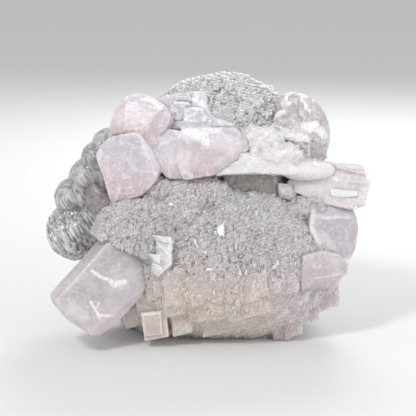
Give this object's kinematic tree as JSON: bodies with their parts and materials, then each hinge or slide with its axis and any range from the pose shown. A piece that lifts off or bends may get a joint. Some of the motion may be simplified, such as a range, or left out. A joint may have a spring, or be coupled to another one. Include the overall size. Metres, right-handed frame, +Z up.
{
  "type": "calcite crystal cluster",
  "caption": "Pale pink cluster of intergrown calcite crystals: a stepped lens in front, smooth rounded crystals above, a stepped dome behind and clear grey lobes at one side.",
  "frame": {"origin": "middle of the bounding box's underside, on the flat cut base", "axes": "+Z up, -Y towards the front of the cluster, +X to its right"},
  "size_m": [0.1092, 0.0712, 0.088],
  "materials": {
    "pink_calcite": "milky, frosted steps and satin faces"
  },
  "bodies": {
    "root": {"calcite_cluster": "pink_calcite"}
  },
  "joints": []
}
